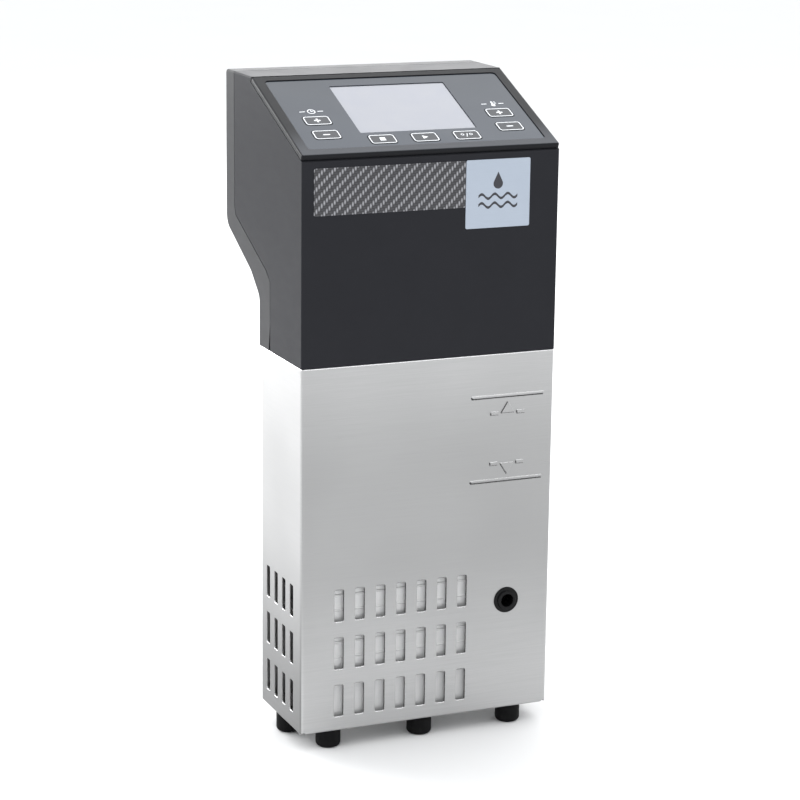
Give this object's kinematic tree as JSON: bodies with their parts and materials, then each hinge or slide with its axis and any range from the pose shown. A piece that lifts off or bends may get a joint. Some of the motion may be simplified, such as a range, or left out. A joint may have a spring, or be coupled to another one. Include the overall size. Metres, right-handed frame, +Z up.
{
  "type": "sous vide circulator",
  "caption": "Box-shaft immersion circulator: slotted steel housing with jet outlet, overhanging control head with sloped key panel, rear pot clamp.",
  "frame": {"origin": "centre of the overall footprint box, at the bottom of the rubber feet", "axes": "+X to the user's right, +Y from the front to the back, +Z up"},
  "size_m": [0.155, 0.1398, 0.3775],
  "materials": {
    "brushed_steel": "horizontally brushed stainless",
    "back_steel": "brushed stainless",
    "base_steel": "satin stainless",
    "foot_rubber": "matt",
    "zinc_screw": "bright zinc",
    "baffle_sheet": "satin",
    "heater_tube": "polished tube",
    "brass_fitting": "machined",
    "strap_steel": "satin",
    "deck_steel": "satin",
    "gasket_rubber": "matt",
    "probe_steel": "polished",
    "stem_steel": "polished",
    "float_plastic": "moulded",
    "pump_plastic": "moulded",
    "pump_cover_plastic": "moulded",
    "rod_steel": "turned",
    "impeller_plastic": "moulded",
    "nozzle_plastic": "gloss black",
    "bush_plastic": "turned PTFE",
    "shaft_steel": "ground",
    "coupling_alloy": "turned",
    "motor_metal": "black coated",
    "bracket_alloy": "cast",
    "head_plastic": "fine texture",
    "cover_plastic": "fine texture",
    "bezel_plastic": "satin blue-grey",
    "overlay_plastic": "glossy film",
    "display_glass": "clear over pale display",
    "lcd_metal": "display module",
    "display_pcb": "solder mask",
    "display_screw": "bright zinc",
    "switch_plastic": "moulded",
    "power_pcb": "solder mask",
    "standoff_brass": "machined",
    "transformer_core": "varnished laminations",
    "relay_plastic": "moulded",
    "capacitor_sleeve": "sleeved can",
    "sink_alloy": "black anodised",
    "terminal_plastic": "moulded",
    "fan_plastic": "moulded",
    "rotor_plastic": "moulded",
    "gland_plastic": "moulded",
    "gland_nut_plastic": "moulded",
    "gland_rubber": "matt",
    "locknut_plastic": "moulded",
    "bracket_steel": "brushed",
    "nut_steel": "plated",
    "pad_rubber": "matt",
    "screw_steel": "plated thread",
    "knob_plastic": "moulded",
    "carbon_film": "woven-look film",
    "pale_film": "pale film",
    "key_plastic": "printed key"
  },
  "bodies": {
    "housing": {"steel_sleeve": "brushed_steel", "back_panel": "back_steel", "base_plate": "base_steel", "rubber_feet": "foot_rubber", "m3_screws": "zinc_screw", "inner_baffle": "baffle_sheet", "heater_element": "heater_tube", "heater_fittings": "brass_fitting", "heater_bracket": "strap_steel", "deck_plate": "deck_steel", "deck_gasket": "gasket_rubber", "temperature_probe": "probe_steel", "float_stem": "stem_steel", "pump_volute": "pump_plastic", "pump_cover": "pump_cover_plastic", "pump_rods": "rod_steel", "outlet_nozzle": "nozzle_plastic", "shaft_bush": "bush_plastic", "motor_can": "motor_metal", "motor_bracket": "bracket_alloy", "front_housing": "head_plastic", "rear_cover": "cover_plastic", "panel_bezel": "bezel_plastic", "overlay_film": "overlay_plastic", "lcd_window": "display_glass", "lcd_module": "lcd_metal", "display_board": "display_pcb", "display_screws": "display_screw", "tact_switches": "switch_plastic", "power_board": "power_pcb", "board_standoffs": "standoff_brass", "transformer": "transformer_core", "relay": "relay_plastic", "capacitors": "capacitor_sleeve", "heat_sink": "sink_alloy", "terminal_block": "terminal_plastic", "fan_frame": "fan_plastic", "gland_body": "gland_plastic", "gland_nut": "gland_nut_plastic", "gland_seal": "gland_rubber", "gland_locknut": "locknut_plastic", "clamp_bracket": "bracket_steel", "clamp_nut": "nut_steel", "carbon_label": "carbon_film", "pale_label": "pale_film"},
    "pump_rotor": {"motor_shaft": "shaft_steel", "shaft_coupling": "coupling_alloy", "impeller": "impeller_plastic"},
    "fan_blades": {"fan_rotor": "rotor_plastic"},
    "level_float": {"level_float": "float_plastic"},
    "clamp_shoe": {"clamp_pad": "pad_rubber"},
    "clamp_spindle": {"clamp_screw": "screw_steel", "clamp_knob": "knob_plastic"},
    "key_time_up": {"key_time_up": "key_plastic"},
    "key_time_down": {"key_time_down": "key_plastic"},
    "key_temp_up": {"key_temp_up": "key_plastic"},
    "key_temp_down": {"key_temp_down": "key_plastic"},
    "key_stop": {"key_stop": "key_plastic"},
    "key_start": {"key_start": "key_plastic"},
    "key_units": {"key_units": "key_plastic"}
  },
  "joints": [
    {"name": "pump_spin", "type": "hinge", "parent": "housing", "child": "pump_rotor", "pos_m": [0.036, -0.0351, 0.1615], "axis": [0, 0, 1], "continuous": true},
    {"name": "fan_spin", "type": "hinge", "parent": "housing", "child": "fan_blades", "pos_m": [-0.035, 0.0479, 0.3315], "axis": [0, 1, 0], "continuous": true},
    {"name": "float_rise", "type": "slide", "parent": "housing", "child": "level_float", "axis": [0, 0, 1], "range_m": [0, 0.012]},
    {"name": "clamp_travel", "type": "slide", "parent": "housing", "child": "clamp_shoe", "axis": [0, 1, 0], "range_m": [-0.008, 0.015]},
    {"name": "clamp_turn", "type": "hinge", "parent": "clamp_shoe", "child": "clamp_spindle", "pos_m": [0, 0.0319, 0.1875], "axis": [0, 1, 0], "range_deg": [-2305, 4325]},
    {"name": "key_time_up_press", "type": "slide", "parent": "housing", "child": "key_time_up", "axis": [0, 0.3842, -0.9233], "range_m": [0, 0.00045], "stiffness_N_per_m": 300, "springref_m": -0.002},
    {"name": "key_time_down_press", "type": "slide", "parent": "housing", "child": "key_time_down", "axis": [0, 0.3842, -0.9233], "range_m": [0, 0.00045], "stiffness_N_per_m": 300, "springref_m": -0.002},
    {"name": "key_temp_up_press", "type": "slide", "parent": "housing", "child": "key_temp_up", "axis": [0, 0.3842, -0.9233], "range_m": [0, 0.00045], "stiffness_N_per_m": 300, "springref_m": -0.002},
    {"name": "key_temp_down_press", "type": "slide", "parent": "housing", "child": "key_temp_down", "axis": [0, 0.3842, -0.9233], "range_m": [0, 0.00045], "stiffness_N_per_m": 300, "springref_m": -0.002},
    {"name": "key_stop_press", "type": "slide", "parent": "housing", "child": "key_stop", "axis": [0, 0.3842, -0.9233], "range_m": [0, 0.00045], "stiffness_N_per_m": 300, "springref_m": -0.002},
    {"name": "key_start_press", "type": "slide", "parent": "housing", "child": "key_start", "axis": [0, 0.3842, -0.9233], "range_m": [0, 0.00045], "stiffness_N_per_m": 300, "springref_m": -0.002},
    {"name": "key_units_press", "type": "slide", "parent": "housing", "child": "key_units", "axis": [0, 0.3842, -0.9233], "range_m": [0, 0.00045], "stiffness_N_per_m": 300, "springref_m": -0.002}
  ],
  "couplings": [
    {"joint": "clamp_turn", "follows": "clamp_travel", "rad_per_m": 5026.5}
  ]
}
